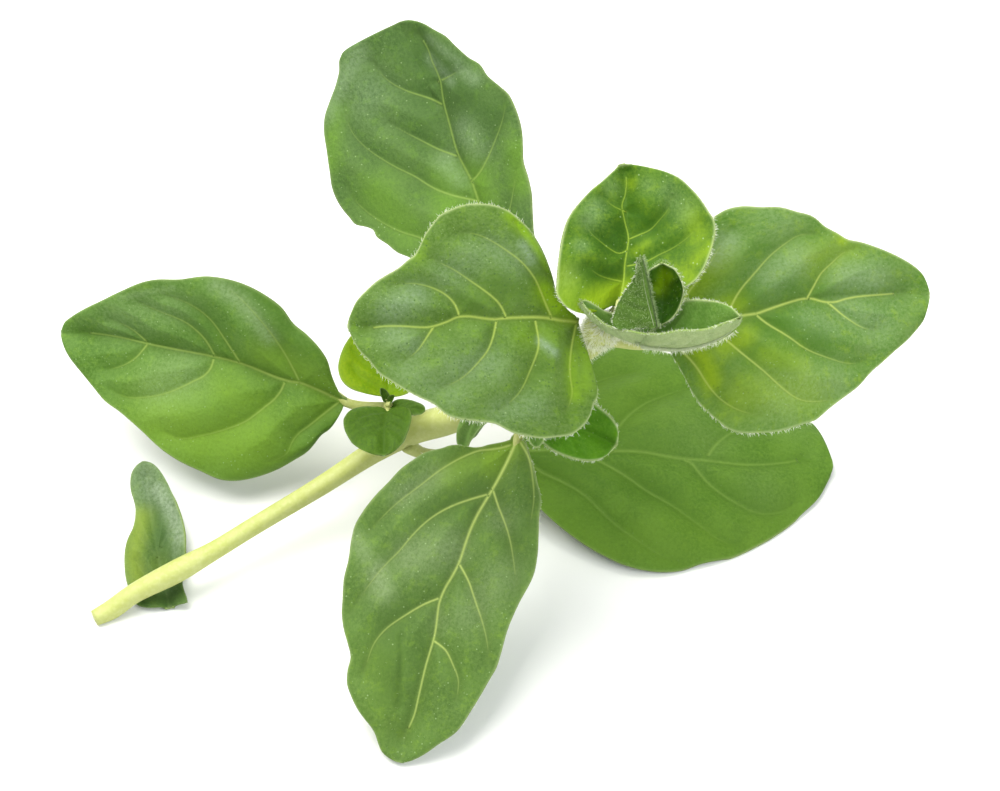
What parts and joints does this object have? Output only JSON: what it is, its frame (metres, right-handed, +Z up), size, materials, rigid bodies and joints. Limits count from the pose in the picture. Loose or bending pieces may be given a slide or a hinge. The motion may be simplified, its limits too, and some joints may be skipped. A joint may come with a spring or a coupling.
{
  "type": "oregano sprig",
  "caption": "Cut sprig of fresh oregano lying on a flat surface: squarish stem, broad opposite leaves set crosswise, young side shoots and a downy tip.",
  "frame": {"origin": "centre of the small flat spot under the stem's cut end, on the surface that the sprig lies on", "axes": "+Z up from the surface, +X roughly along the stem from the cut end to the tip as seen from above, +Y to the left of it"},
  "size_m": [0.0865, 0.0629, 0.0436],
  "materials": {
    "stem": "soft, finely downy plant stem",
    "leaf": "fresh leaf with a soft sheen",
    "old_leaf": "limp fading leaf, matt",
    "young_leaf": "tender young leaf, thin",
    "downy_tip": "matt, covered in short white hairs"
  },
  "bodies": {
    "root": {"stem": "stem", "leaf_0": "old_leaf", "leaf_1_left": "leaf", "leaf_1_right": "leaf", "leaf_2_back": "leaf", "leaf_2_front": "leaf", "leaf_3_left": "leaf", "leaf_3_right": "leaf", "leaf_4_back": "leaf", "side_shoot_lower": "young_leaf", "side_shoot_upper": "young_leaf", "shoot_tip": "downy_tip"}
  },
  "joints": []
}
